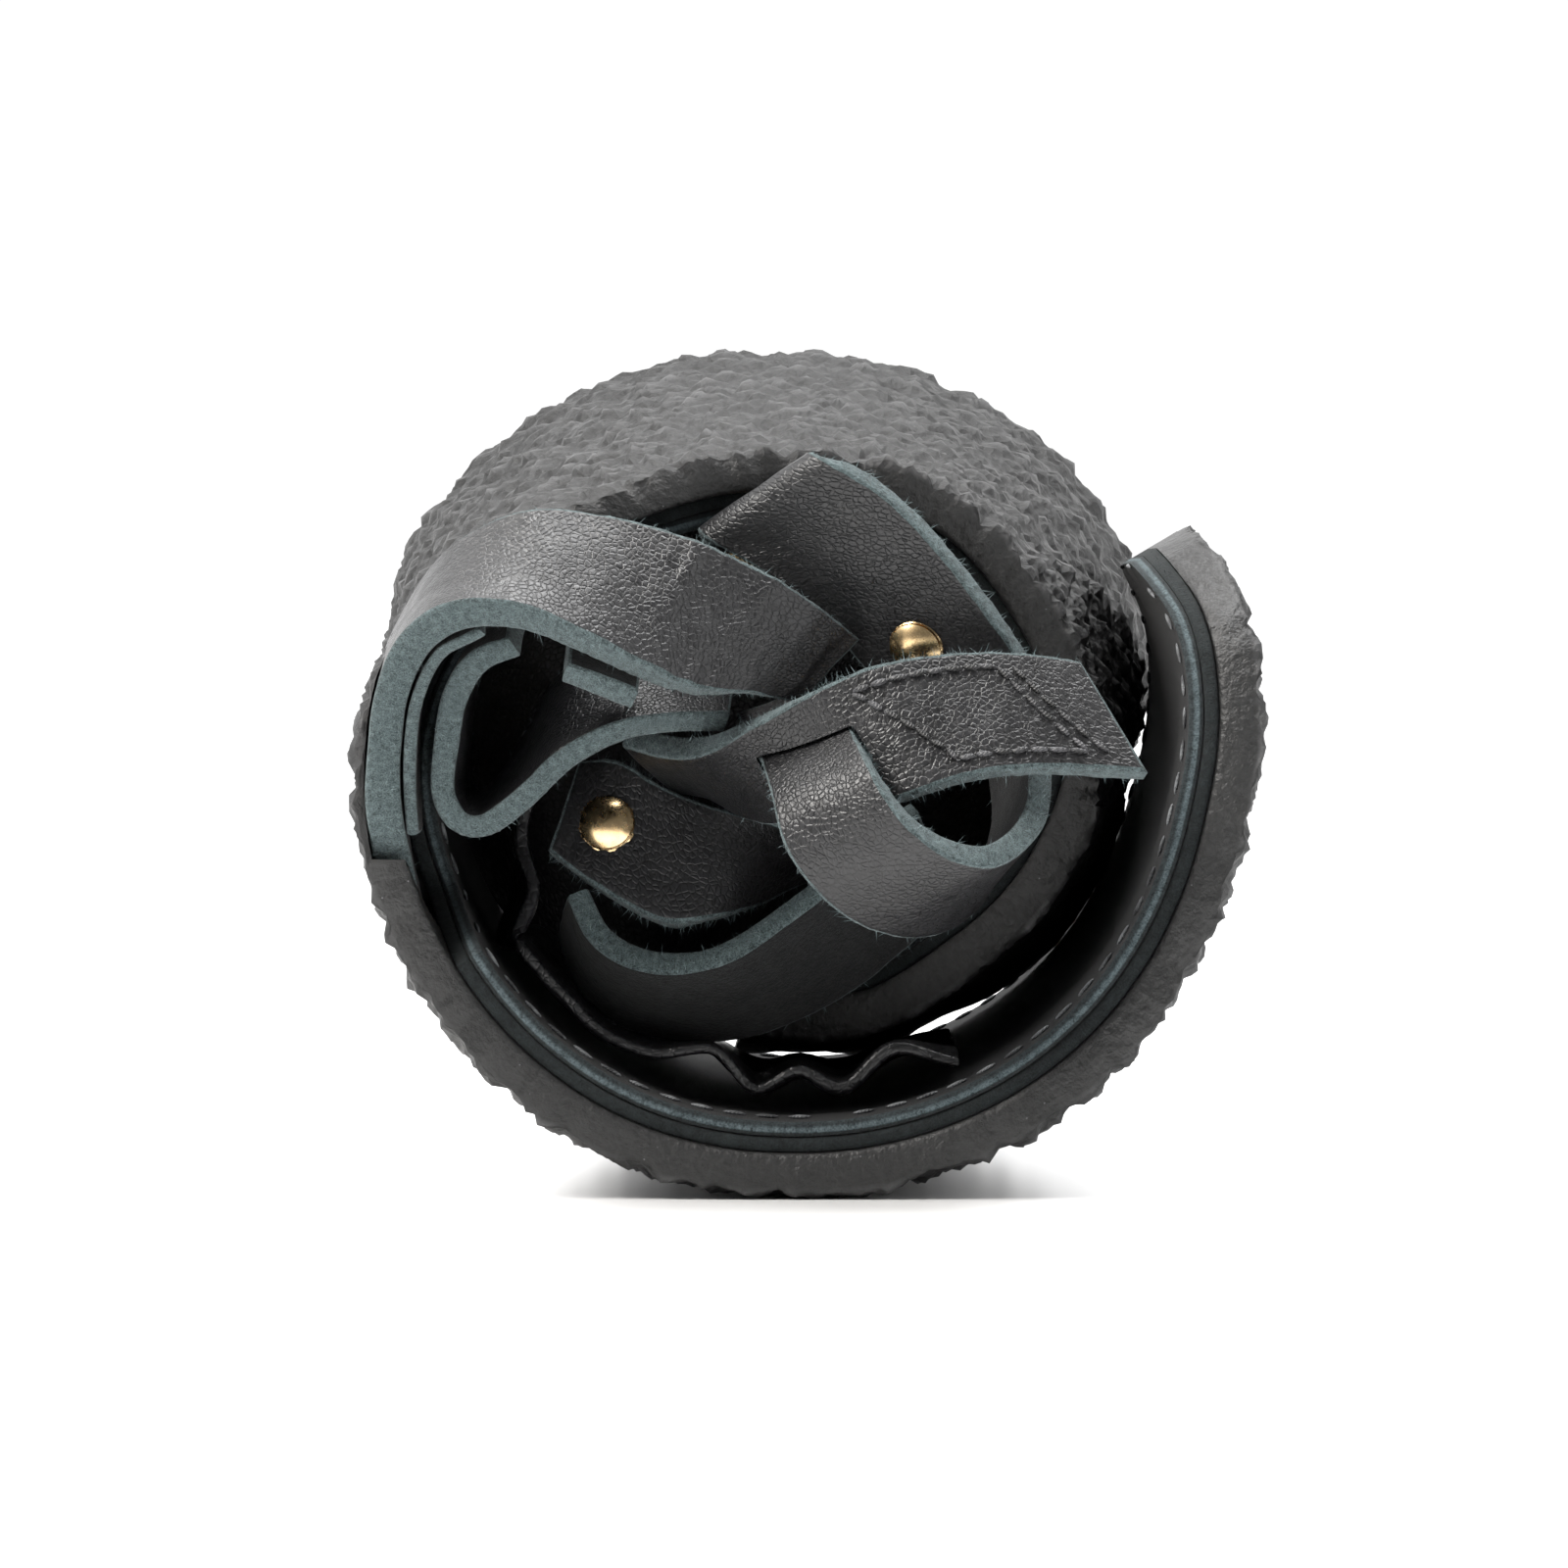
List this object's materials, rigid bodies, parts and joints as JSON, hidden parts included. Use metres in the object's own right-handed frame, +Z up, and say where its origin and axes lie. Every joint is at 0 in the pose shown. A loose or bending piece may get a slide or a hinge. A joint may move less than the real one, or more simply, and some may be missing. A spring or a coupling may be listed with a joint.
{
  "type": "rolled leather sandal",
  "caption": "Black leather sandal rolled up with its rubber tread outside and its straps gathered in the open end, lying on the roll; the toe end unrolls flat.",
  "frame": {"origin": "middle of the small flat on the tread on which the roll lies", "axes": "+Z up, the roll runs along Y with the open end and the straps towards -Y, the loose toe end is at +X"},
  "size_m": [0.0752, 0.1044, 0.0707],
  "materials": {
    "black_rubber": "rough",
    "insole_leather": "raw edge",
    "suede_footbed": "suede",
    "black_leather": "satin grain",
    "lining_leather": "soft",
    "black_thread": "twisted",
    "gold_metal": "polished"
  },
  "bodies": {
    "core": {"crossing_strap": "black_leather", "edge_stitching_core": "black_thread", "footbed_core": "suede_footbed", "footbed_liner": "lining_leather", "heel_counter": "black_leather", "heel_strap": "black_leather", "insole_core": "insole_leather", "instep_strap": "black_leather", "instep_strap_lining": "lining_leather", "keeper_loop": "black_leather", "outsole_core": "black_rubber", "rivet_back_caps": "gold_metal", "rivet_caps": "gold_metal", "rivet_posts": "gold_metal", "riveted_strap": "gold_metal", "slotted_strap": "black_leather", "slotted_strap_seam": "black_thread", "tab_end": "black_leather", "threaded_strap": "black_leather"},
    "flap_1": {"edge_stitching_flap_1": "black_thread", "footbed_flap_1": "suede_footbed", "insole_flap_1": "insole_leather", "outsole_flap_1": "black_rubber"},
    "flap_2": {"edge_stitching_flap_2": "black_thread", "footbed_flap_2": "suede_footbed", "insole_flap_2": "insole_leather", "outsole_flap_2": "black_rubber"},
    "flap_3": {"edge_stitching_flap_3": "black_thread", "footbed_flap_3": "suede_footbed", "insole_flap_3": "insole_leather", "outsole_flap_3": "black_rubber"},
    "flap_4": {"edge_stitching_flap_4": "black_thread", "footbed_flap_4": "suede_footbed", "insole_flap_4": "insole_leather", "outsole_flap_4": "black_rubber"}
  },
  "joints": [
    {"name": "flap_bend_1", "type": "hinge", "parent": "core", "child": "flap_1", "pos_m": [0.00923, 0, 0.00132], "axis": [0, 1, 0], "range_deg": [0, 29.4]},
    {"name": "flap_bend_2", "type": "hinge", "parent": "flap_1", "child": "flap_2", "pos_m": [0.02312, 0, 0.00915], "axis": [0, 1, 0], "range_deg": [0, 25.5]},
    {"name": "flap_bend_3", "type": "hinge", "parent": "flap_2", "child": "flap_3", "pos_m": [0.03222, 0, 0.02207], "axis": [0, 1, 0], "range_deg": [0, 22]},
    {"name": "flap_bend_4", "type": "hinge", "parent": "flap_3", "child": "flap_4", "pos_m": [0.03586, 0, 0.03763], "axis": [0, 1, 0], "range_deg": [0, 28.1]}
  ],
  "couplings": [
    {"joint": "flap_bend_2", "follows": "flap_bend_1", "ratio": 0.8673},
    {"joint": "flap_bend_3", "follows": "flap_bend_1", "ratio": 0.7482},
    {"joint": "flap_bend_4", "follows": "flap_bend_1", "ratio": 0.9557}
  ]
}
